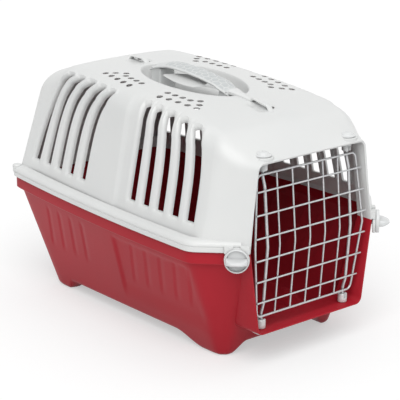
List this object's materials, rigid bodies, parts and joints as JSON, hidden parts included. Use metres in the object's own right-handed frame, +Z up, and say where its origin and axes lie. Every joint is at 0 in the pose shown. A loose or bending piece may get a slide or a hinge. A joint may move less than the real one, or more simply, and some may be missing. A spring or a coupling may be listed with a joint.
{
  "type": "pet carrier",
  "caption": "Two-shell plastic pet carrier with slotted lid, carrying handle, corner lock knobs and a wire front door held by turning latches.",
  "frame": {"origin": "on the floor, under the middle of the carrier's length and width", "axes": "+Y from the door to the rear, +X to the right as seen from the door, +Z up"},
  "size_m": [0.315, 0.4798, 0.33],
  "materials": {
    "tray_plastic": "moulded rose-red polypropylene with a fine satin grain",
    "lid_plastic": "moulded pale grey polypropylene, satin",
    "door_wire": "light grey coated steel wire",
    "latch_plastic": "pale grey moulded plastic with a soft gloss"
  },
  "bodies": {
    "tray": {"tray": "tray_plastic"},
    "lid": {"lid": "lid_plastic", "hand_well": "lid_plastic", "handle": "lid_plastic", "front_strap_bar": "lid_plastic", "rear_strap_bar": "lid_plastic"},
    "door": {"door_frame": "door_wire", "door_upright_1": "door_wire", "door_upright_2": "door_wire", "door_upright_3": "door_wire", "door_upright_4": "door_wire", "door_upright_5": "door_wire", "door_rail_1": "door_wire", "door_rail_2": "door_wire", "door_rail_3": "door_wire", "door_rail_4": "door_wire", "door_rail_5": "door_wire", "door_rail_6": "door_wire", "door_rod_left": "door_wire", "door_rod_right": "door_wire"},
    "top_left_latch": {"top_left_latch": "latch_plastic"},
    "bottom_left_latch": {"bottom_left_latch": "latch_plastic"},
    "front_left_knob": {"front_left_knob": "latch_plastic", "front_left_lock_key": "latch_plastic"},
    "top_right_latch": {"top_right_latch": "latch_plastic"},
    "bottom_right_latch": {"bottom_right_latch": "latch_plastic"},
    "front_right_knob": {"front_right_knob": "latch_plastic", "front_right_lock_key": "latch_plastic"}
  },
  "joints": [
    {"name": "lid_lift", "type": "slide", "parent": "tray", "child": "lid", "axis": [0, 0, 1], "range_m": [0, 0.2]},
    {"name": "door_swing", "type": "hinge", "parent": "tray", "child": "door", "pos_m": [-0.0707, -0.21097, 0.15], "axis": [0, 0, -1], "range_deg": [0, 110]},
    {"name": "top_left_latch_turn", "type": "hinge", "parent": "lid", "child": "top_left_latch", "pos_m": [-0.0707, -0.21097, 0.264], "axis": [0, 0, -1], "range_deg": [0, 90]},
    {"name": "bottom_left_latch_turn", "type": "hinge", "parent": "tray", "child": "bottom_left_latch", "pos_m": [-0.0707, -0.21097, 0.044], "axis": [0, 0, -1], "range_deg": [0, 90]},
    {"name": "front_left_knob_turn", "type": "hinge", "parent": "tray", "child": "front_left_knob", "pos_m": [-0.11876, -0.21974, 0.147], "axis": [-0.7071, -0.7071, 0], "range_deg": [0, 90]},
    {"name": "top_right_latch_turn", "type": "hinge", "parent": "lid", "child": "top_right_latch", "pos_m": [0.0707, -0.21097, 0.264], "axis": [0, 0, 1], "range_deg": [0, 90]},
    {"name": "bottom_right_latch_turn", "type": "hinge", "parent": "tray", "child": "bottom_right_latch", "pos_m": [0.0707, -0.21097, 0.044], "axis": [0, 0, 1], "range_deg": [0, 90]},
    {"name": "front_right_knob_turn", "type": "hinge", "parent": "tray", "child": "front_right_knob", "pos_m": [0.11876, -0.21974, 0.147], "axis": [0.7071, -0.7071, 0], "range_deg": [0, 90]}
  ]
}
